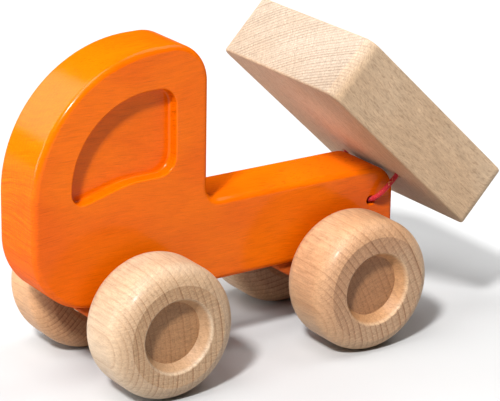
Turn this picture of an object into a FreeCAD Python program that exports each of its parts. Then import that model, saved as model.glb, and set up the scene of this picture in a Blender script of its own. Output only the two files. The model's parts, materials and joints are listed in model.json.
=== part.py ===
"""Toy dump truck with a tipping bed, as separate wooden pieces and one elastic cord.

Millimetres. +X points to the front of the cab, +Y to the truck's left side, +Z up.
The origin is on the ground, below the middle of the truck's bounding box, with the bed tipped.
"""

import FreeCAD
import Part
import math
import os

from FreeCAD import Vector

# ---------------------------------------------------------------- plank body: chassis and cab
PLANK_THICKNESS = 28.0
PLANK_BOTTOM = 33.2
CHASSIS_TOP = 67.9
CAB_TOP = 134.9
TAIL_X = -67.2
DECK_LENGTH = 92.9
CAB_LENGTH = 79.0
CAB_REAR_X = TAIL_X + DECK_LENGTH
CAB_FRONT_X = CAB_REAR_X + CAB_LENGTH
ROOF_RADIUS = 57.2
CAB_CROWN_RADIUS = 17.0
NOSE_RADIUS = 27.0
CAB_FOOT_RADIUS = 5.5
TAIL_TOP_RADIUS = 12.0
TAIL_BOTTOM_RADIUS = 6.0
PLANK_EDGE_RADIUS = 2.6

# blind window pocket, routed into both faces of the cab
WINDOW_REAR_X = CAB_REAR_X + 15.0
WINDOW_FRONT_X = CAB_REAR_X + 62.0
WINDOW_TOP = 118.0
WINDOW_SILL = 82.3
WINDOW_TIP_Z = 75.2
WINDOW_SILL_BEND_X = CAB_REAR_X + 36.3
WINDOW_FRONT_RADIUS = 35.8
WINDOW_REAR_TOP_RADIUS = 7.5
WINDOW_REAR_SILL_RADIUS = 8.0
WINDOW_TIP_RADIUS = 5.2
WINDOW_SILL_BEND_RADIUS = 36.0
WINDOW_DEPTH = 5.0
WINDOW_COVE_RADIUS = 1.2
WINDOW_RIM_RADIUS = 0.6

# ---------------------------------------------------------------- wheels and axles
WHEEL_RADIUS = 28.0
WHEELBASE = 95.4
FRONT_AXLE_X = CAB_REAR_X + 33.0
REAR_AXLE_X = FRONT_AXLE_X - WHEELBASE
WHEEL_INNER_Y = 16.2
WHEEL_WIDTH = 29.1
WHEEL_INNER_ROUNDING = 8.5
FRONT_WHEEL_FACE_RADIUS = 21.0
REAR_WHEEL_FACE_RADIUS = 22.3
FRONT_WHEEL_SHOULDER_DEPTH = 9.0
REAR_WHEEL_SHOULDER_DEPTH = 7.9
WHEEL_DISH_RIM_RADIUS = 15.5
WHEEL_DISH_FLOOR_RADIUS = 12.6
WHEEL_DISH_DEPTH = 5.3
WHEEL_DISH_RIM_ROUNDING = 0.8
WHEEL_BORE_DEPTH = 17.0
AXLE_RADIUS = 4.0
AXLE_RUNNING_CLEARANCE = 0.08
GLUE_LINE = 0.03
AXLE_END_GAP = 0.4
AXLE_END_CHAMFER = 0.8

# ---------------------------------------------------------------- axle blocks under the plank
FRONT_BLOCK_CHORD = 50.6
REAR_BLOCK_CHORD = 57.6
BLOCK_DROP = 11.8
BLOCK_WIDTH = 23.0
BLOCK_EDGE_RADIUS = 1.0
BLOCK_DOWEL_RADIUS = 2.5
BLOCK_DOWEL_OFFSET = 18.0
BLOCK_DOWEL_BOTTOM = 27.6
BLOCK_DOWEL_LENGTH = 16.0
BLOCK_DOWEL_CHAMFER = 0.6
DOWEL_END_GAP = 0.4

# ---------------------------------------------------------------- hinge cord and its hole
HINGE_X = TAIL_X + 11.9
HINGE_Z = 53.5
CORD_RADIUS = 1.0
CHASSIS_HOLE_RADIUS = 1.9
CHASSIS_HOLE_MOUTH_RADIUS = 0.6
CORD_MOUTH_BEND_RADIUS = 4.2
CORD_BED_BEND_RADIUS = 10.0
CORD_MOUTH_CORNER_Y = 15.2
CORD_BED_CORNER_RISE = 9.5

# ---------------------------------------------------------------- tipping bed
TIP_ANGLE = 43.7
BED_LENGTH = 98.6
BED_WIDTH = 80.0
BED_HEIGHT = 27.5
BED_BEHIND_HINGE = 28.6
BED_ABOVE_HINGE = 14.7
BED_CORNER_RADIUS = 5.4
BED_EDGE_RADIUS = 1.0
TRAY_WALL = 9.0
TRAY_DEPTH = 17.5
TRAY_CORNER_RADIUS = 9.0
TRAY_COVE_RADIUS = 4.0
BED_HOLE_Y = 18.0
BED_HOLE_RADIUS = 1.4
BED_HOLE_MOUTH_CHAMFER = 0.8
KNOT_RECESS_RADIUS = 4.2
KNOT_RECESS_DEPTH = 5.6
KNOT_RADIUS = 2.9
KNOT_HEIGHT = 4.6
KNOT_ROUNDING = 1.3
CORD_TAIL_LENGTH = 3.0
CORD_TAIL_LEAN = 32.0

# ---------------------------------------------------------------- construction
Y_AXIS = Vector(0, 1, 0)
Z_AXIS = Vector(0, 0, 1)
ORIGIN = Vector(0, 0, 0)
OVERCUT = 1.0
SELECTION_MARGIN = 0.5
PLANE_TOLERANCE = 1e-4
SHORTEST_EDGE = 1e-6


# ---------------------------------------------------------------- helpers

def rounded_outline(corners):
    """Closed wire in the XZ plane from (x, z, radius) corners, each rounded by its radius."""
    edges = []
    starts = []
    ends = []
    middles = []
    count = len(corners)
    for index, (x, z, radius) in enumerate(corners):
        corner = Vector(x, 0, z)
        previous = Vector(corners[index - 1][0], 0, corners[index - 1][1])
        following = Vector(corners[(index + 1) % count][0], 0, corners[(index + 1) % count][1])
        back = (previous - corner).normalize()
        ahead = (following - corner).normalize()
        half_angle = back.getAngle(ahead) / 2
        tangent = radius / math.tan(half_angle)
        bisector = (back + ahead).normalize()
        starts.append(corner + back * tangent)
        ends.append(corner + ahead * tangent)
        middles.append(corner + bisector * (radius / math.sin(half_angle) - radius))
    for index in range(count):
        edges.append(Part.Arc(starts[index], middles[index], ends[index]).toShape())
        following = starts[(index + 1) % count]
        if (following - ends[index]).Length > SHORTEST_EDGE:
            edges.append(Part.LineSegment(ends[index], following).toShape())
    return Part.Wire(edges)


def edges_in_y_plane(shape, y, inside=None):
    """Edges of a shape that lie in the plane of constant y, optionally within an XZ window."""
    found = []
    for edge in shape.Edges:
        box = edge.BoundBox
        if abs(box.YMin - y) > PLANE_TOLERANCE or abs(box.YMax - y) > PLANE_TOLERANCE:
            continue
        if inside is not None:
            x_low, x_high, z_low, z_high = inside
            if box.XMin < x_low or box.XMax > x_high or box.ZMin < z_low or box.ZMax > z_high:
                continue
        found.append(edge)
    return found


def cylinder_y(radius, y_low, y_high, x, z):
    """Cylinder along Y between two y values."""
    return Part.makeCylinder(radius, y_high - y_low, Vector(x, y_low, z), Y_AXIS)


def cylinder_z(radius, z_low, z_high, x, y):
    """Cylinder along Z between two z values."""
    return Part.makeCylinder(radius, z_high - z_low, Vector(x, y, z_low), Z_AXIS)


def chamfered_peg(radius, length, chamfer, base, axis):
    """Round peg with both ends chamfered, standing on base along axis."""
    end_length = length - 2 * chamfer
    tip = Part.makeCone(radius - chamfer, radius, chamfer, base, axis)
    shank = Part.makeCylinder(radius, end_length, base + axis * chamfer, axis)
    top = Part.makeCone(radius, radius - chamfer, chamfer, base + axis * (chamfer + end_length), axis)
    return tip.fuse([shank, top]).removeSplitter()


def line(start, end):
    """Straight edge between (radius, y) points of a turned profile."""
    return Part.LineSegment(Vector(start[0], start[1], 0), Vector(end[0], end[1], 0)).toShape()


def shoulder(tread, face):
    """Arc of a turned profile, tangent to the tread at (radius, y) and ending at (radius, y) on a face."""
    drop = tread[0] - face[0]
    depth = face[1] - tread[1]
    radius = (drop ** 2 + depth ** 2) / (2 * drop)
    half_turn = math.asin(abs(depth) / radius) / 2
    sink = radius * (1 - math.cos(half_turn))
    run = math.copysign(radius * math.sin(half_turn), depth)
    start = Vector(tread[0], tread[1], 0)
    middle = Vector(tread[0] - sink, tread[1] + run, 0)
    return Part.Arc(start, middle, Vector(face[0], face[1], 0)).toShape()


def turned(edges):
    """Solid turned about the Y axis from the edges of its half section."""
    return Part.Face(Part.Wire(edges)).revolve(ORIGIN, Y_AXIS, 360)


def write(name, shape):
    """Write one node to its STEP file."""
    if not shape.isValid():
        raise ValueError(name + " is not a valid shape")
    shape.exportStep("parts/" + name + ".step")
    print(name, "solids", len(shape.Solids), "volume", round(shape.Volume, 1))


# ---------------------------------------------------------------- plank body

def window_pocket(side):
    """Cutter for the blind window on one face of the cab (side is +1 or -1)."""
    outline = rounded_outline([
        (WINDOW_REAR_X, WINDOW_SILL, WINDOW_REAR_SILL_RADIUS),
        (WINDOW_REAR_X, WINDOW_TOP, WINDOW_REAR_TOP_RADIUS),
        (WINDOW_FRONT_X, WINDOW_TOP, WINDOW_FRONT_RADIUS),
        (WINDOW_FRONT_X, WINDOW_TIP_Z, WINDOW_TIP_RADIUS),
        (WINDOW_SILL_BEND_X, WINDOW_SILL, WINDOW_SILL_BEND_RADIUS),
    ])
    face_y = side * PLANK_THICKNESS / 2
    floor_y = face_y - side * WINDOW_DEPTH
    outline.translate(Vector(0, floor_y, 0))
    cutter = Part.Face(outline).extrude(Vector(0, side * (WINDOW_DEPTH + OVERCUT), 0))
    return cutter.makeFillet(WINDOW_COVE_RADIUS, edges_in_y_plane(cutter, floor_y))


def block_dowel_places(axle_x):
    """X positions of the two dowels that hold one axle block to the plank."""
    return [axle_x - BLOCK_DOWEL_OFFSET, axle_x + BLOCK_DOWEL_OFFSET]


def make_body():
    """Chassis and cab, cut from one plank."""
    outline = rounded_outline([
        (TAIL_X, PLANK_BOTTOM, TAIL_BOTTOM_RADIUS),
        (CAB_FRONT_X, PLANK_BOTTOM, NOSE_RADIUS),
        (CAB_FRONT_X, CAB_TOP, ROOF_RADIUS),
        (CAB_REAR_X, CAB_TOP, CAB_CROWN_RADIUS),
        (CAB_REAR_X, CHASSIS_TOP, CAB_FOOT_RADIUS),
        (TAIL_X, CHASSIS_TOP, TAIL_TOP_RADIUS),
    ])
    half = PLANK_THICKNESS / 2
    outline.translate(Vector(0, -half, 0))
    body = Part.Face(outline).extrude(Vector(0, PLANK_THICKNESS, 0))
    body = body.makeFillet(PLANK_EDGE_RADIUS, edges_in_y_plane(body, half) + edges_in_y_plane(body, -half))
    body = body.cut([window_pocket(1), window_pocket(-1)])
    window_area = (WINDOW_REAR_X - SELECTION_MARGIN, WINDOW_FRONT_X + SELECTION_MARGIN,
                   WINDOW_TIP_Z - SELECTION_MARGIN, WINDOW_TOP + SELECTION_MARGIN)
    rims = edges_in_y_plane(body, half, window_area) + edges_in_y_plane(body, -half, window_area)
    body = body.makeFillet(WINDOW_RIM_RADIUS, rims)

    body = body.cut(cylinder_y(CHASSIS_HOLE_RADIUS, -half - OVERCUT, half + OVERCUT, HINGE_X, HINGE_Z))
    reach = CHASSIS_HOLE_RADIUS + SELECTION_MARGIN
    hole_area = (HINGE_X - reach, HINGE_X + reach, HINGE_Z - reach, HINGE_Z + reach)
    mouths = edges_in_y_plane(body, half, hole_area) + edges_in_y_plane(body, -half, hole_area)
    body = body.makeFillet(CHASSIS_HOLE_MOUTH_RADIUS, mouths)

    sockets = []
    socket_top = BLOCK_DOWEL_BOTTOM + BLOCK_DOWEL_LENGTH + DOWEL_END_GAP
    for axle_x in (FRONT_AXLE_X, REAR_AXLE_X):
        for x in block_dowel_places(axle_x):
            sockets.append(cylinder_z(BLOCK_DOWEL_RADIUS + GLUE_LINE, PLANK_BOTTOM - OVERCUT,
                                      socket_top, x, 0))
    return body.cut(sockets)


# ---------------------------------------------------------------- axle blocks and their dowels

def make_axle_block(axle_x, chord):
    """Bearer block with a bowed underside, bored for the axle and for its two dowels."""
    half = BLOCK_WIDTH / 2
    left = Vector(axle_x - chord / 2, -half, PLANK_BOTTOM)
    right = Vector(axle_x + chord / 2, -half, PLANK_BOTTOM)
    lowest = Vector(axle_x, -half, PLANK_BOTTOM - BLOCK_DROP)
    outline = Part.Wire([Part.Arc(left, lowest, right).toShape(), Part.LineSegment(right, left).toShape()])
    block = Part.Face(outline).extrude(Vector(0, BLOCK_WIDTH, 0))
    bowed = [edge for edge in edges_in_y_plane(block, half) + edges_in_y_plane(block, -half)
             if edge.BoundBox.ZLength > SELECTION_MARGIN]
    block = block.makeFillet(BLOCK_EDGE_RADIUS, bowed)
    bore = cylinder_y(AXLE_RADIUS + AXLE_RUNNING_CLEARANCE, -half - OVERCUT, half + OVERCUT,
                      axle_x, WHEEL_RADIUS)
    sockets = [cylinder_z(BLOCK_DOWEL_RADIUS + GLUE_LINE, BLOCK_DOWEL_BOTTOM - DOWEL_END_GAP,
                          PLANK_BOTTOM + OVERCUT, x, 0) for x in block_dowel_places(axle_x)]
    return block.cut([bore] + sockets)


def make_block_dowels(axle_x):
    """The two glued dowels of one axle block."""
    pegs = [chamfered_peg(BLOCK_DOWEL_RADIUS, BLOCK_DOWEL_LENGTH, BLOCK_DOWEL_CHAMFER,
                          Vector(x, 0, BLOCK_DOWEL_BOTTOM), Z_AXIS) for x in block_dowel_places(axle_x)]
    return Part.makeCompound(pegs)


# ---------------------------------------------------------------- axles and wheels

def make_axle(axle_x):
    """Round axle that turns in its block and is glued into both wheels."""
    half = WHEEL_INNER_Y + WHEEL_BORE_DEPTH - AXLE_END_GAP
    return chamfered_peg(AXLE_RADIUS, 2 * half, AXLE_END_CHAMFER, Vector(axle_x, -half, WHEEL_RADIUS), Y_AXIS)


def make_wheel(axle_x, face_radius, shoulder_depth, side):
    """Turned wheel with rounded shoulders, a dished outer face and a blind bore behind it."""
    inner = WHEEL_INNER_Y
    outer = WHEEL_INNER_Y + WHEEL_WIDTH
    floor = outer - WHEEL_DISH_DEPTH
    inner_round = WHEEL_INNER_ROUNDING
    tread_low = inner + inner_round
    tread_high = outer - shoulder_depth
    blank = turned([
        line((0, inner), (WHEEL_RADIUS - inner_round, inner)),
        shoulder((WHEEL_RADIUS, tread_low), (WHEEL_RADIUS - inner_round, inner)),
        line((WHEEL_RADIUS, tread_low), (WHEEL_RADIUS, tread_high)),
        shoulder((WHEEL_RADIUS, tread_high), (face_radius, outer)),
        line((face_radius, outer), (WHEEL_DISH_RIM_RADIUS, outer)),
        line((WHEEL_DISH_RIM_RADIUS, outer), (WHEEL_DISH_FLOOR_RADIUS, floor)),
        line((WHEEL_DISH_FLOOR_RADIUS, floor), (0, floor)),
        line((0, floor), (0, inner)),
    ])
    rim = [edge for edge in edges_in_y_plane(blank, outer)
           if edge.BoundBox.XLength < 2 * WHEEL_DISH_RIM_RADIUS + SELECTION_MARGIN]
    blank = blank.makeFillet(WHEEL_DISH_RIM_ROUNDING, rim)
    bore = cylinder_y(AXLE_RADIUS + GLUE_LINE, inner - OVERCUT, inner + WHEEL_BORE_DEPTH, 0, 0)
    wheel = blank.cut(bore)
    if side < 0:
        wheel = wheel.mirror(ORIGIN, Y_AXIS)
    wheel.translate(Vector(axle_x, 0, WHEEL_RADIUS))
    return wheel


# ---------------------------------------------------------------- tipping bed, built lying flat

def tip(shape):
    """Turn a piece of the lowered bed up to its tipped rest position about the hinge."""
    tipped = shape.copy()
    tipped.rotate(Vector(HINGE_X, 0, HINGE_Z), Y_AXIS, -TIP_ANGLE)
    return tipped


def make_bed():
    """Thick board with a routed tray on top and two cord holes with knot recesses."""
    rear = HINGE_X - BED_BEHIND_HINGE
    bottom = HINGE_Z + BED_ABOVE_HINGE
    top = bottom + BED_HEIGHT
    floor = top - TRAY_DEPTH
    board = Part.makeBox(BED_LENGTH, BED_WIDTH, BED_HEIGHT, Vector(rear, -BED_WIDTH / 2, bottom))
    uprights = [edge for edge in board.Edges if edge.BoundBox.ZLength > BED_HEIGHT - SELECTION_MARGIN]
    board = board.makeFillet(BED_CORNER_RADIUS, uprights)
    rims = [edge for edge in board.Edges if edge.BoundBox.ZLength < SELECTION_MARGIN]
    board = board.makeFillet(BED_EDGE_RADIUS, rims)

    tray = Part.makeBox(BED_LENGTH - 2 * TRAY_WALL, BED_WIDTH - 2 * TRAY_WALL, TRAY_DEPTH + OVERCUT,
                        Vector(rear + TRAY_WALL, TRAY_WALL - BED_WIDTH / 2, floor))
    uprights = [edge for edge in tray.Edges if edge.BoundBox.ZLength > TRAY_DEPTH]
    tray = tray.makeFillet(TRAY_CORNER_RADIUS, uprights)
    floor_edges = [edge for edge in tray.Edges if edge.BoundBox.ZMax < floor + SELECTION_MARGIN]
    tray = tray.makeFillet(TRAY_COVE_RADIUS, floor_edges)
    board = board.cut(tray)
    tray_rim = [edge for edge in board.Edges
                if edge.BoundBox.ZMin > top - SELECTION_MARGIN
                and edge.BoundBox.XMin > rear + TRAY_WALL - SELECTION_MARGIN
                and edge.BoundBox.XMax < rear + BED_LENGTH - TRAY_WALL + SELECTION_MARGIN]
    board = board.makeFillet(BED_EDGE_RADIUS, tray_rim)

    cutters = []
    for y in (-BED_HOLE_Y, BED_HOLE_Y):
        cutters.append(cylinder_z(BED_HOLE_RADIUS, bottom - OVERCUT, top, HINGE_X, y))
        cutters.append(Part.makeCone(BED_HOLE_RADIUS + BED_HOLE_MOUTH_CHAMFER, BED_HOLE_RADIUS,
                                     BED_HOLE_MOUTH_CHAMFER, Vector(HINGE_X, y, bottom), Z_AXIS))
        cutters.append(cylinder_z(KNOT_RECESS_RADIUS, floor - KNOT_RECESS_DEPTH, top, HINGE_X, y))
    return board.cut(cutters)


def cord_route():
    """Corners of the cord's centre line in the YZ plane of the lowered bed, from knot to knot."""
    knot_seat = HINGE_Z + BED_ABOVE_HINGE + BED_HEIGHT - TRAY_DEPTH - KNOT_RECESS_DEPTH
    rise = HINGE_Z + CORD_BED_CORNER_RISE
    half = [(CORD_MOUTH_CORNER_Y, HINGE_Z, CORD_MOUTH_BEND_RADIUS),
            (BED_HOLE_Y, rise, CORD_BED_BEND_RADIUS),
            (BED_HOLE_Y, knot_seat, 0)]
    left = [(Vector(HINGE_X, y, z), radius) for y, z, radius in half]
    right = [(Vector(HINGE_X, -y, z), radius) for y, z, radius in reversed(half)]
    return right + left


def cord_tube(route):
    """Round tube along straight runs joined by tangent arcs."""
    edges = []
    last = route[0][0]
    for index in range(1, len(route) - 1):
        corner, radius = route[index]
        back = (route[index - 1][0] - corner).normalize()
        ahead = (route[index + 1][0] - corner).normalize()
        half_angle = back.getAngle(ahead) / 2
        tangent = radius / math.tan(half_angle)
        start = corner + back * tangent
        end = corner + ahead * tangent
        middle = corner + (back + ahead).normalize() * (radius / math.sin(half_angle) - radius)
        edges.append(Part.LineSegment(last, start).toShape())
        edges.append(Part.Arc(start, middle, end).toShape())
        print("cord bend radius", radius, "turn", round(180 - math.degrees(2 * half_angle), 1))
        last = end
    edges.append(Part.LineSegment(last, route[-1][0]).toShape())
    length = sum(edge.Length for edge in edges)
    section = Part.Wire([Part.makeCircle(CORD_RADIUS, route[0][0], Z_AXIS)])
    tube = Part.Wire(edges).makePipeShell([section], True, False)
    print("cord length", round(length, 2), "volume ratio",
          round(tube.Volume / (math.pi * CORD_RADIUS ** 2 * length), 4))
    return tube


def make_cord_knot(side):
    """Overhand knot on one end of the cord, in its recess, with its short cut tail."""
    seat = HINGE_Z + BED_ABOVE_HINGE + BED_HEIGHT - TRAY_DEPTH - KNOT_RECESS_DEPTH
    middle = KNOT_HEIGHT / 2
    barrel = Part.makeCylinder(KNOT_RADIUS, KNOT_HEIGHT)
    rims = [edge for edge in barrel.Edges if edge.BoundBox.ZLength < SELECTION_MARGIN]
    barrel = barrel.makeFillet(KNOT_ROUNDING, rims)
    lean = math.radians(CORD_TAIL_LEAN)
    direction = Vector(math.sin(lean), 0, math.cos(lean))
    tail = Part.makeCylinder(CORD_RADIUS, middle + CORD_TAIL_LENGTH, Vector(0, 0, middle), direction)
    knot = barrel.fuse(tail).removeSplitter()
    knot.translate(Vector(HINGE_X, side * BED_HOLE_Y, seat))
    return knot


# ---------------------------------------------------------------- all nodes

def main():
    os.makedirs("parts", exist_ok=True)
    write("body", make_body())
    for end, axle_x, block_chord, face_radius, shoulder_depth in (
            ("front", FRONT_AXLE_X, FRONT_BLOCK_CHORD, FRONT_WHEEL_FACE_RADIUS, FRONT_WHEEL_SHOULDER_DEPTH),
            ("rear", REAR_AXLE_X, REAR_BLOCK_CHORD, REAR_WHEEL_FACE_RADIUS, REAR_WHEEL_SHOULDER_DEPTH)):
        write(end + "_axle_block", make_axle_block(axle_x, block_chord))
        write(end + "_block_dowels", make_block_dowels(axle_x))
        write(end + "_axle", make_axle(axle_x))
        write(end + "_left_wheel", make_wheel(axle_x, face_radius, shoulder_depth, 1))
        write(end + "_right_wheel", make_wheel(axle_x, face_radius, shoulder_depth, -1))
    write("bed", tip(make_bed()))
    write("hinge_cord", tip(cord_tube(cord_route())))
    write("left_cord_knot", tip(make_cord_knot(1)))
    write("right_cord_knot", tip(make_cord_knot(-1)))


main()
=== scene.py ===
import json
import math

import bpy
import numpy as np
from mathutils import Matrix, Vector


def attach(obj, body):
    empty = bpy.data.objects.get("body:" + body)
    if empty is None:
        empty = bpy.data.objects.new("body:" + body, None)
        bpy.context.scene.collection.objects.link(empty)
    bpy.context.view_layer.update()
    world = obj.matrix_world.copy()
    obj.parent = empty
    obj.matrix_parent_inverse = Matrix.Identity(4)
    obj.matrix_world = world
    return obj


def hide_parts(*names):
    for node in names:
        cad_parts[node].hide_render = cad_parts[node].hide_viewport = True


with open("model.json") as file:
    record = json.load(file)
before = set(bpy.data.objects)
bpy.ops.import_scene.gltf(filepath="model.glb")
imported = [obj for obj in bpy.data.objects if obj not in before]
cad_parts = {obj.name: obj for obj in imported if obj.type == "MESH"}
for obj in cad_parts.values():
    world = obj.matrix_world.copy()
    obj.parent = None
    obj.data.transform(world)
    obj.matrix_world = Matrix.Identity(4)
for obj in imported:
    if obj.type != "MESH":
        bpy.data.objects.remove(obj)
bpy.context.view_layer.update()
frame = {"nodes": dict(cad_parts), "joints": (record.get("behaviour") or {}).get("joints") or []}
joints = {joint["name"]: joint for joint in frame["joints"]}

# ---------------------------------------------------------------- numbers taken from the frame
HINGE = Vector(joints["bed_tip"]["pos_m"])
FRONT_AXLE = Vector(joints["front_wheels_roll"]["pos_m"])
REAR_AXLE = Vector(joints["rear_wheels_roll"]["pos_m"])
TIP_ANGLE = math.radians(43.7)
BED_UP = Vector((-math.sin(TIP_ANGLE), 0, math.cos(TIP_ANGLE)))
BED_FORWARD = Vector((math.cos(TIP_ANGLE), 0, math.sin(TIP_ANGLE)))

# ---------------------------------------------------------------- camera
CAMERA_AZIMUTH = math.radians(145.851)
CAMERA_ELEVATION = math.radians(19.57)
CAMERA_ROLL = math.radians(0.949)
CAMERA_DISTANCE = 0.971
CAMERA_AIM = Vector((-0.00383, 0, 0.05875))
CAMERA_LENS = 170.42
CAMERA_SENSOR = 36.0


def make_camera():
    data = bpy.data.cameras.new("camera")
    data.lens = CAMERA_LENS
    data.sensor_width = CAMERA_SENSOR
    data.sensor_fit = "HORIZONTAL"
    camera = bpy.data.objects.new("camera", data)
    bpy.context.scene.collection.objects.link(camera)
    flat = math.cos(CAMERA_ELEVATION)
    back = Vector((math.sin(CAMERA_AZIMUTH) * flat, -math.cos(CAMERA_AZIMUTH) * flat,
                   math.sin(CAMERA_ELEVATION)))
    right = Vector((0, 0, 1)).cross(back).normalized()
    up = back.cross(right)
    cos, sin = math.cos(CAMERA_ROLL), math.sin(CAMERA_ROLL)
    turn = Matrix((right * cos + up * sin, up * cos - right * sin, back)).transposed()
    camera.matrix_world = Matrix.Translation(CAMERA_AIM + back * CAMERA_DISTANCE) @ turn.to_4x4()
    bpy.context.scene.camera = camera


# ---------------------------------------------------------------- node helpers
class Nodes:
    """Short way to write one material's node tree."""

    def __init__(self, name):
        self.material = bpy.data.materials.new(name)
        self.material.use_nodes = True
        self.tree = self.material.node_tree
        self.shader = self.tree.nodes["Principled BSDF"]

    def put(self, socket, value):
        if isinstance(value, bpy.types.NodeSocket):
            self.tree.links.new(value, socket)
        else:
            socket.default_value = value

    def set(self, **values):
        """Shader inputs by name, with _ for each space."""
        for name, value in values.items():
            self.put(self.shader.inputs[name.replace("_", " ")], value)

    def add(self, kind, inputs, **settings):
        node = self.tree.nodes.new(kind)
        for key, value in settings.items():
            setattr(node, key, value)
        for socket, value in inputs.items():
            self.put(node.inputs[socket], value)
        return node

    def math(self, operation, *values):
        return self.add("ShaderNodeMath", dict(enumerate(values)), operation=operation).outputs[0]

    def plus(self, first, second):
        return self.math("ADD", first, second)

    def minus(self, first, second):
        return self.math("SUBTRACT", first, second)

    def times(self, first, second):
        return self.math("MULTIPLY", first, second)

    def swing(self, value, size):
        """A 0 to 1 value moved to swing about zero, by half of size each way."""
        return self.times(self.minus(value, 0.5), size)

    def length(self, first, second):
        squares = self.plus(self.times(first, first), self.times(second, second))
        return self.math("POWER", squares, 0.5)

    def between(self, value, low, high, to_low=0.0, to_high=1.0):
        node = self.add("ShaderNodeMapRange",
                        {"Value": value, "From Min": low, "From Max": high,
                         "To Min": to_low, "To Max": to_high},
                        interpolation_type="SMOOTHSTEP")
        return node.outputs["Result"]

    def texture_place(self, kind):
        return self.add("ShaderNodeTexCoord", {}).outputs[kind]

    def turned(self, vector, turn, **settings):
        inputs = {"Vector": vector, "Angle": turn, "Axis": (0, 1, 0), **settings}
        return self.add("ShaderNodeVectorRotate", inputs).outputs[0]

    def vector(self, x, y, z):
        return self.add("ShaderNodeCombineXYZ", {0: x, 1: y, 2: z}).outputs[0]

    def vector_math(self, operation, first, second):
        return self.add("ShaderNodeVectorMath", {0: first, 1: second},
                        operation=operation).outputs[0]

    def noise(self, vector, rates, detail=2.0, roughness=0.5):
        """Noise over a vector, with its rate along each axis in cells per metre."""
        node = self.add("ShaderNodeTexNoise",
                        {"Vector": self.vector_math("MULTIPLY", vector, rates), "Scale": 1.0,
                         "Detail": detail, "Roughness": roughness})
        return node.outputs["Fac"]

    def mix(self, factor, first, second, blend="MIX"):
        node = self.add("ShaderNodeMix", {}, data_type="RGBA", blend_type=blend)
        self.put(node.inputs[0], factor)
        self.put(node.inputs[6], first)
        self.put(node.inputs[7], second)
        return node.outputs[2]

    def bump(self, height, strength, distance):
        node = self.add("ShaderNodeBump",
                        {"Height": height, "Strength": strength, "Distance": distance})
        self.set(Normal=node.outputs["Normal"])


def rgb(red, green, blue):
    """Linear colour from 0-255 display values."""
    def linear(value):
        value /= 255
        return value / 12.92 if value <= 0.04045 else ((value + 0.055) / 1.055) ** 2.4
    return linear(red), linear(green), linear(blue), 1.0


# ---------------------------------------------------------------- lights and floor
# name, azimuth and elevation of its direction, spread of its disc, all in degrees, and strength
SUNS = (("key", 36, 46, 7, 4.7),
        ("high_fill", 0, 70, 30, 1.7),
        ("far_side_fill", -57, 33, 42, 1.85),
        ("low_fill", -30, 8, 25, 1.4),
        ("rear_fill", 180, 60, 50, 1.6))
WORLD_STRENGTH = 0.06
FLOOR_REACH = 6.0
FLOOR_GREY = 0.45


def sun(name, azimuth, elevation, spread, strength):
    """Even white light over the whole set from one direction; its spread softens its shadows."""
    data = bpy.data.lights.new(name, "SUN")
    data.angle = math.radians(spread)
    data.energy = strength
    light = bpy.data.objects.new(name, data)
    bpy.context.scene.collection.objects.link(light)
    azimuth, elevation = math.radians(azimuth), math.radians(elevation)
    flat = math.cos(elevation)
    toward = Vector((math.cos(azimuth) * flat, math.sin(azimuth) * flat, math.sin(elevation)))
    light.rotation_euler = toward.to_track_quat("Z", "Y").to_euler()


def make_studio():
    scene = bpy.context.scene
    scene.view_settings.view_transform = "Standard"
    world = bpy.data.worlds.new("studio")
    scene.world = world
    world.use_nodes = True
    background = world.node_tree.nodes["Background"]
    background.inputs["Color"].default_value = (1, 1, 1, 1)
    background.inputs["Strength"].default_value = WORLD_STRENGTH
    for lamp in SUNS:
        sun(*lamp)


def make_floor():
    reach = FLOOR_REACH
    mesh = bpy.data.meshes.new("floor")
    mesh.from_pydata([(-reach, -reach, 0), (reach, -reach, 0), (reach, reach, 0),
                      (-reach, reach, 0)], [], [(0, 1, 2, 3)])
    floor = bpy.data.objects.new("floor", mesh)
    bpy.context.scene.collection.objects.link(floor)
    nodes = Nodes("floor_paper")
    nodes.set(Base_Color=(FLOOR_GREY, FLOOR_GREY, FLOOR_GREY, 1), Roughness=0.9,
              Specular_IOR_Level=0.1)
    mesh.materials.append(nodes.material)


# ---------------------------------------------------------------- beech
# a wheel's dish: its radius, and the painted shade that darkens the wood in it
DISH_RADIUS = 0.0152
DISH_SHADE_TONE = (0.86, 0.70, 0.56, 1)

# finishes: ray_rate is the rays' rate along the fibres, ray_floor how sparse they are
LACQUER = {"roughness": 0.38, "unevenness": 0.06, "specular": 0.0, "coat": 0.12,
           "coat_roughness": 0.16, "relief": 0.32, "ray_rate": 120.0, "ray_floor": 0.55}
WAXED = {"roughness": 0.46, "unevenness": 0.10, "specular": 0.25, "coat": 0.03,
         "coat_roughness": 0.20, "relief": 0.55, "ray_rate": 380.0, "ray_floor": 0.5}
SANDED = {"roughness": 0.62, "unevenness": 0.10, "specular": 0.20, "coat": 0.0,
          "coat_roughness": 0.3, "relief": 0.65, "ray_rate": 380.0, "ray_floor": 0.5}
COAT_IOR = 2.0
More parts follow.
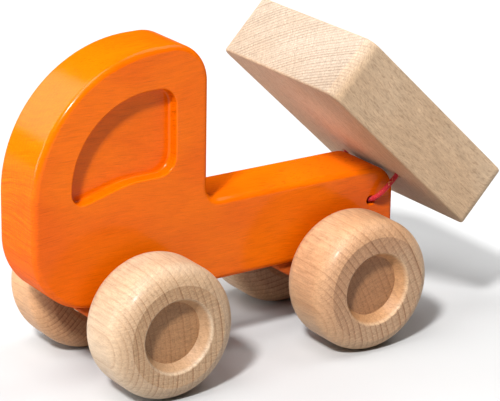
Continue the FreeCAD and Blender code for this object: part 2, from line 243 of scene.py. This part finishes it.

# colours: pale and warm wood, latewood, rays, the factor on end grain (on the wheels partly
# painted shade on their flat faces), and 1 where a wheel's dish gets painted shade
ORANGE = {"pale": rgb(220, 100, 1), "warm": rgb(211, 87, 1), "late": rgb(190, 70, 1),
          "ray": rgb(134, 38, 3), "end": (1, 1, 1, 1), "dish_shade": 0.0}
BLOCK_ORANGE = {"pale": rgb(197, 91, 35), "warm": rgb(184, 78, 26), "late": rgb(158, 61, 19),
                "ray": rgb(120, 39, 14), "end": (1, 1, 1, 1), "dish_shade": 0.0}
PALE = {"pale": rgb(188, 166, 141), "warm": rgb(182, 155, 126), "late": rgb(134, 94, 62),
        "ray": rgb(124, 84, 54), "end": (0.80, 0.69, 0.58, 1), "dish_shade": 1.0}
PINK = {"pale": rgb(192, 160, 126), "warm": rgb(186, 144, 107), "late": rgb(132, 86, 54),
        "ray": rgb(122, 76, 48), "end": (0.75, 0.71, 0.71, 1), "dish_shade": 1.0}
TAN = {"pale": rgb(186, 142, 102), "warm": rgb(180, 131, 91), "late": rgb(128, 82, 50),
       "ray": rgb(118, 72, 42), "end": (0.76, 0.72, 0.72, 1), "dish_shade": 1.0}
BED = {"pale": rgb(187, 161, 133), "warm": rgb(180, 151, 121), "late": rgb(140, 106, 76),
       "ray": rgb(112, 80, 54), "end": (0.82, 0.92, 1.08, 1), "dish_shade": 0.0}

# strength of the patterns: rings and fibres on a side face and on end grain, the radial silk on
# end grain, and the rays
BODY_DEPTH = {"rings": (0.14, 0.25), "fibres": (0.18, 0.42), "silk": 3.2, "rays": 0.34}
BLOCK_DEPTH = {"rings": (0.2, 0.3), "fibres": (0.14, 0.2), "silk": 2.0, "rays": 0.3}
BED_DEPTH = {"rings": (0.14, 1.0), "fibres": (0.40, 0.62), "silk": 0.5, "rays": 0.34}
WHEEL_DEPTH = {"rings": (0.34, 0.85), "fibres": (0.44, 0.60), "silk": 1.0, "rays": 0.22}
PEG_DEPTH = {"rings": (0.2, 0.5), "fibres": (0.18, 0.3), "silk": 1.0, "rays": 0.3}


def end_grain_of(nodes, turn, axis):
    """0 on a face along the fibres to 1 on one square to them, with a step near square that also
    gives the painted shade on the wheels' flat faces a crisp edge.
    """
    facing = nodes.turned(nodes.texture_place("Normal"), turn)
    facing = nodes.add("ShaderNodeSeparateXYZ", {0: facing}).outputs["XYZ".index(axis)]
    facing = nodes.math("ABSOLUTE", facing)
    return nodes.plus(nodes.between(facing, 0.35, 0.95, 0.0, 0.55),
                      nodes.between(facing, 0.972, 0.992, 0.0, 0.45))


def around_pith(nodes, across, rise, pith):
    """Distance from the pith, and distance round it, from the line to the piece's middle."""
    from_pith = nodes.minus(across, pith[0])
    above_pith = nodes.minus(rise, pith[1])
    sideways = nodes.minus(nodes.times(from_pith, -pith[1]), nodes.times(above_pith, -pith[0]))
    outward = nodes.plus(nodes.times(from_pith, -pith[0]), nodes.times(above_pith, -pith[1]))
    angle = nodes.math("ARCTAN2", sideways, outward)
    return nodes.length(from_pith, above_pith), nodes.times(angle, math.hypot(*pith))


def growth_rings(nodes, polar, radius, pith, ring):
    """A slow darkening that ends in a thin latewood line, stronger in some years."""
    uneven = nodes.noise(polar, (9.0, 20.0, 110.0), detail=1.0)
    count = nodes.times(nodes.math("POWER", radius, 0.5), 2 * math.hypot(*pith) ** 0.5 / ring)
    count = nodes.plus(count, nodes.times(uneven, 1.6))
    phase = nodes.math("FRACT", count)
    year = nodes.add("ShaderNodeTexWhiteNoise", {"W": nodes.math("FLOOR", count)},
                     noise_dimensions="1D").outputs["Value"]
    slow = nodes.times(nodes.between(phase, 0.15, 0.85), 0.3)
    late = nodes.times(nodes.between(phase, 0.66, 0.92), 0.7)
    rings = nodes.times(nodes.plus(slow, late), nodes.between(phase, 0.93, 1.0, 1.0, 0.0))
    return nodes.times(rings, nodes.plus(0.35, nodes.times(year, 0.65)))


def wood_fibres(nodes, local, grain, polar, silk_strength):
    """Fibres and pores: long along the grain, a fine speckle across it, about zero."""
    fibre = nodes.noise(grain, (230.0, 2200.0, 2200.0), detail=3.0, roughness=0.7)
    coarse = nodes.noise(grain, (110.0, 850.0, 850.0))
    silk = nodes.noise(polar, (150.0, 1700.0, 70.0), roughness=0.6)
    speckle = nodes.noise(local, (1500.0, 1500.0, 1500.0), roughness=0.6)
    fibres = nodes.plus(nodes.swing(fibre, 1.2), nodes.swing(coarse, 0.9))
    fibres = nodes.plus(fibres, nodes.swing(silk, silk_strength))
    return nodes.plus(fibres, nodes.swing(speckle, 1.0))


def beech(name, centre, turn, pith, ring, colours, depth, gloss, waviness=1.0, order="XYZ"):
    """Beech: growth rings about a pith line, fine fibres, and rays as thin ribbons.

    centre and turn (angle about +Y) bring the piece into wood space, where order says which
    object axis runs along the fibres and which two cross them. pith is the pith line's place
    across the fibres, ring the ring spacing in metres, waviness how far the fibres wander.
    """
    nodes = Nodes(name)
    turned = nodes.turned(nodes.texture_place("Object"), turn, Center=centre)
    local = nodes.vector_math("SUBTRACT", turned, centre)
    split = nodes.add("ShaderNodeSeparateXYZ", {0: local}).outputs
    along, across, rise = (split["XYZ".index(axis)] for axis in order)
    end_grain = end_grain_of(nodes, turn, order[0])

    def by_face(pair):
        return nodes.between(end_grain, 0.0, 1.0, *pair)

    # the wheel's dish, where the wood gets painted shade and its rings are shown at half strength
    dish = nodes.between(nodes.length(across, rise), DISH_RADIUS - 0.0008, DISH_RADIUS + 0.0002,
                         1.0, 0.0)
    dish_shade = nodes.times(dish, colours["dish_shade"])

    drift = nodes.noise(nodes.vector(along, across, rise), (10.0, 22.0, 22.0), detail=1.0)
    drift = nodes.swing(drift, 0.010 * waviness)
    across = nodes.plus(across, drift)
    rise = nodes.plus(rise, nodes.times(drift, 1.6))
    radius, girth = around_pith(nodes, across, rise, pith)
    grain = nodes.vector(along, across, rise)
    polar = nodes.vector(along, girth, radius)

    rings = growth_rings(nodes, polar, radius, pith, ring)
    fibres = wood_fibres(nodes, local, grain, polar, by_face((0.9, depth["silk"])))
    # rays: ribbons thin around the pith, short along the fibres, long outward
    rays = nodes.noise(polar, (gloss["ray_rate"], 6400.0, 850.0), detail=1.0)
    rays = nodes.between(rays, gloss["ray_floor"], gloss["ray_floor"] + 0.22)

    cloud = nodes.noise(local, (16.0, 24.0, 24.0))
    tone = nodes.mix(nodes.between(cloud, 0.35, 0.68), colours["pale"], colours["warm"])
    shown = nodes.times(by_face(depth["rings"]), nodes.between(dish_shade, 0.0, 1.0, 1.0, 0.5))
    tone = nodes.mix(nodes.times(rings, shown), tone, colours["late"])
    lift = nodes.plus(1.0, nodes.times(fibres, by_face(depth["fibres"])))
    tone = nodes.vector_math("MULTIPLY", tone, nodes.vector(lift, lift, lift))
    tone = nodes.mix(nodes.times(rays, depth["rays"]), tone, colours["ray"])
    # darker end grain; on the wheels this is partly painted shade on their flat faces
    tone = nodes.mix(end_grain, tone, colours["end"], "MULTIPLY")
    # painted shade in the wheels' dishes
    tone = nodes.mix(dish_shade, tone, DISH_SHADE_TONE, "MULTIPLY")

    rough = nodes.plus(gloss["roughness"], nodes.times(fibres, gloss["unevenness"]))
    rough = nodes.plus(rough, nodes.times(rays, gloss["unevenness"] * 0.5))
    nodes.set(Base_Color=tone, Roughness=rough, Specular_IOR_Level=gloss["specular"],
              Coat_Weight=gloss["coat"], Coat_Roughness=gloss["coat_roughness"],
              Coat_IOR=COAT_IOR)
    relief = nodes.minus(nodes.times(fibres, 0.6), nodes.times(rays, 0.7))
    relief = nodes.minus(relief, nodes.times(rings, 0.35))
    nodes.bump(relief, gloss["relief"], 0.0001)
    return nodes.material


def paint(node, material):
    mesh = frame["nodes"][node].data
    mesh.materials.clear()
    mesh.materials.append(material)


def paint_wood():
    paint("body", beech("orange_lacquered_beech", (0, 0, 0.05), 0.0, (-0.16, 0.03), 0.0016,
                        ORANGE, BODY_DEPTH, LACQUER, 1.2))
    blocks = beech("orange_block_beech", (0, 0, 0.03), 0.0, (0.02, 0.15), 0.0018,
                   BLOCK_ORANGE, BLOCK_DEPTH, LACQUER)
    for node in ("front_axle_block", "rear_axle_block"):
        paint(node, blocks)
    paint("bed", beech("bed_beech", HINGE, TIP_ANGLE, (0.095, -0.125), 0.0013,
                       BED, BED_DEPTH, SANDED, 0.5))
    for node, axle, turn, pith, ring, colours in (
            ("front_left_wheel", FRONT_AXLE, -8, (0.075, 0.0), 0.0024, PALE),
            ("front_right_wheel", FRONT_AXLE, 37, (0.085, 0.0), 0.0022, TAN),
            ("rear_left_wheel", REAR_AXLE, -26, (0.080, 0.0), 0.0029, PINK),
            ("rear_right_wheel", REAR_AXLE, 74, (0.078, 0.0), 0.0023, PINK)):
        paint(node, beech(node + "_beech", axle, math.radians(turn), pith, ring,
                          colours, WHEEL_DEPTH, WAXED, 0.25, order="YXZ"))
    pegs = beech("peg_beech", (0, 0, 0.028), 0.0, (0.04, 0.06), 0.0015,
                 BED, PEG_DEPTH, SANDED, order="YXZ")
    for node in ("front_axle", "rear_axle", "front_block_dowels", "rear_block_dowels"):
        paint(node, pegs)


# ---------------------------------------------------------------- braided elastic cord
CORD_RADIUS = 0.0011
STRANDS_EACH_WAY = 8
BRAID_PITCH = 0.0062
CORD_RESOLUTION = 100
KNOT_RESOLUTION = 12

# corners of the cord's route in the lowered bed: across the truck, and up from the hinge axis
CORD_ROUTE = [(-0.018, 0.0191), (-0.018, 0.0095), (-0.0152, 0.0), (-0.0053, 0.0),
              (0.0053, 0.0), (0.0152, 0.0), (0.018, 0.0095), (0.018, 0.0191)]

# a knot: the cord comes up into it, winds round, and leaves as a short tail
KNOT_FROM_MIDDLE = 0.018
KNOT_ENTRY = [(0, 0, -0.0002), (0, 0, 0.0007)]
KNOT_TAIL = [(0.0002, 0.0006, 0.0040), (0.0007, 0, 0.0050), (0.0017, 0, 0.0064),
             (0.0026, 0, 0.0067)]
KNOT_TURNS = 1.75
KNOT_STEPS = 14
KNOT_START = 0.9
KNOT_RADIUS = 0.0019
KNOT_BASE = 0.00095
KNOT_CLIMB = 0.0027

# parts of the braid, as shares of the cord's radius
CORE_SHARE = 0.80
WEAVE_MIDDLE = 0.845
WEAVE_SWING = 0.055
STRAND_WIDTH = 0.205
STRAND_HEIGHT = 0.095


def smooth_line(points, resolution):
    """Points along the smooth NURBS line of these control points, and how far along each is."""
    curve = bpy.data.curves.new("route", "CURVE")
    curve.dimensions = "3D"
    curve.resolution_u = resolution
    spline = curve.splines.new("NURBS")
    spline.points.add(len(points) - 1)
    for target, point in zip(spline.points, points):
        target.co = (*point, 1)
    spline.order_u = 3
    spline.use_endpoint_u = True
    holder = bpy.data.objects.new("route", curve)
    bpy.context.scene.collection.objects.link(holder)
    bpy.context.view_layer.update()
    mesh = bpy.data.meshes.new_from_object(holder)
    line = np.array([vertex.co for vertex in mesh.vertices], float)
    bpy.data.objects.remove(holder)
    bpy.data.curves.remove(curve)
    bpy.data.meshes.remove(mesh)
    steps = np.linalg.norm(np.diff(line, axis=0), axis=1)
    return line, np.concatenate([[0], np.cumsum(steps)])


def cord_frames(line):
    """Two directions across the line at each sample, carried along it without twisting."""
    tangent = np.gradient(line, axis=0)
    tangent /= np.linalg.norm(tangent, axis=1)[:, None]
    start = np.cross(tangent[0], (1.0, 0.3, 0.2))
    side = [start / np.linalg.norm(start)]
    for direction in tangent[1:]:
        carried = side[-1] - direction * side[-1].dot(direction)
        side.append(carried / np.linalg.norm(carried))
    side = np.array(side)
    return side, np.cross(tangent, side)


def tube(line, across, up, width, height, sides, vertices, faces):
    """Add a tube of oval section to the lists: across and up are its section's directions."""
    first = len(vertices)
    for centre, a, b in zip(line, across, up):
        for index in range(sides):
            turn = 2 * math.pi * index / sides
            offset = a * (width * math.cos(turn)) + b * (height * math.sin(turn))
            vertices.append(tuple(centre + offset))
    rows = len(line)
    for row in range(rows - 1):
        here = first + row * sides
        for index in range(sides):
            following = (index + 1) % sides
            faces.append((here + index, here + following,
                          here + sides + following, here + sides + index))
    faces.append(tuple(first + index for index in reversed(range(sides))))
    faces.append(tuple(first + (rows - 1) * sides + index for index in range(sides)))


def braid(name, points, resolution, material):
    """Round braided cord along the smooth line of its control points."""
    line, distance = smooth_line(points, resolution)
    side, other = cord_frames(line)
    winding = 2 * math.pi * distance / BRAID_PITCH
    vertices, faces = [], []
    core = CORD_RADIUS * CORE_SHARE
    tube(line, side, other, core, core, 16, vertices, faces)
    strand_of = [0] * len(faces)
    for way, shift in ((1, 0), (-1, 1)):
        for strand in range(STRANDS_EACH_WAY):
            turn = way * winding + 2 * math.pi * strand / STRANDS_EACH_WAY
            weave = np.cos(STRANDS_EACH_WAY * winding + math.pi * (strand + shift))
            radius = CORD_RADIUS * (WEAVE_MIDDLE + WEAVE_SWING * way * weave)
            outward = side * np.cos(turn)[:, None] + other * np.sin(turn)[:, None]
            path = line + outward * radius[:, None]
            forward = np.gradient(path, axis=0)
            forward /= np.linalg.norm(forward, axis=1)[:, None]
            tube(path, np.cross(forward, outward), outward, CORD_RADIUS * STRAND_WIDTH,
                 CORD_RADIUS * STRAND_HEIGHT, 6, vertices, faces)
            number = 1 + strand + shift * STRANDS_EACH_WAY
            strand_of += [number] * (len(faces) - len(strand_of))
    mesh = bpy.data.meshes.new(name)
    mesh.from_pydata(vertices, [], faces)
    shade = mesh.attributes.new("yarn", "FLOAT", "FACE")
    shade.data.foreach_set("value", np.array(strand_of, np.float32))
    for polygon in mesh.polygons:
        polygon.use_smooth = True
    mesh.materials.append(material)
    piece = bpy.data.objects.new(name, mesh)
    bpy.context.scene.collection.objects.link(piece)
    return piece


def cord_material():
    """Red yarns of two tones with a little fuzz, a few pale flecks in some of them, and a core
    painted dark as the shade in the gaps between them.
    """
    nodes = Nodes("red_braided_yarn")
    yarn = nodes.add("ShaderNodeAttribute", {}, attribute_name="yarn").outputs["Fac"]
    place = nodes.texture_place("Object")
    fuzz = nodes.noise(place, (5200.0, 5200.0, 5200.0))
    patch = nodes.noise(place, (700.0, 700.0, 700.0))
    odd = nodes.math("FRACT", nodes.times(yarn, 0.381966))
    tone = nodes.mix(nodes.between(odd, 0.2, 0.8), rgb(192, 18, 36), rgb(172, 10, 28))
    tone = nodes.mix(nodes.between(fuzz, 0.45, 0.8, 0.0, 0.6), tone, rgb(196, 40, 52))
    fleck = nodes.times(nodes.between(odd, 0.78, 0.8), nodes.between(patch, 0.50, 0.58))
    tone = nodes.mix(nodes.times(fleck, 0.8), tone, rgb(236, 176, 120))
    # the core, seen only in the gaps between the yarns, painted dark red as the shade in those
    # gaps
    tone = nodes.mix(nodes.between(yarn, 0.2, 0.4, 1.0, 0.0), tone, rgb(90, 8, 16))
    nodes.set(Base_Color=tone, Roughness=0.62, Sheen_Weight=0.08, Sheen_Roughness=0.4)
    nodes.bump(fuzz, 0.5, 0.00006)
    return nodes.material


def in_bed(across, forward, up):
    """Point of the row frame from a place in the bed, measured from the hinge axis."""
    return HINGE + Vector((0, across, 0)) + BED_FORWARD * forward + BED_UP * up


def knot_route(side):
    """Control points of one knot, from its seat: forward, outward from the cord, and up."""
    route = list(KNOT_ENTRY)
    for step in range(KNOT_STEPS + 1):
        share = step / KNOT_STEPS
        turn = 2 * math.pi * KNOT_TURNS * share + KNOT_START
        route.append((KNOT_RADIUS * math.cos(turn), KNOT_RADIUS * math.sin(turn) * side,
                      KNOT_BASE + KNOT_CLIMB * share))
    return route + [(x, y * side, z) for x, y, z in KNOT_TAIL]


def make_cord():
    material = cord_material()
    route = [in_bed(across, 0, up) for across, up in CORD_ROUTE]
    cord = braid("hinge_cord_braid", route, CORD_RESOLUTION, material)
    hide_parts("hinge_cord")
    pieces = [cord]
    seat = CORD_ROUTE[0][1]
    for side, node in ((1, "left_cord_knot"), (-1, "right_cord_knot")):
        route = [in_bed(side * KNOT_FROM_MIDDLE + y, x, seat + z) for x, y, z in knot_route(side)]
        knot = braid(node + "_braid", route, KNOT_RESOLUTION, material)
        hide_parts(node)
        pieces.append(knot)
    for piece in pieces:
        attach(piece, "tipping_bed")


make_camera()
make_cord()
make_studio()
make_floor()
paint_wood()
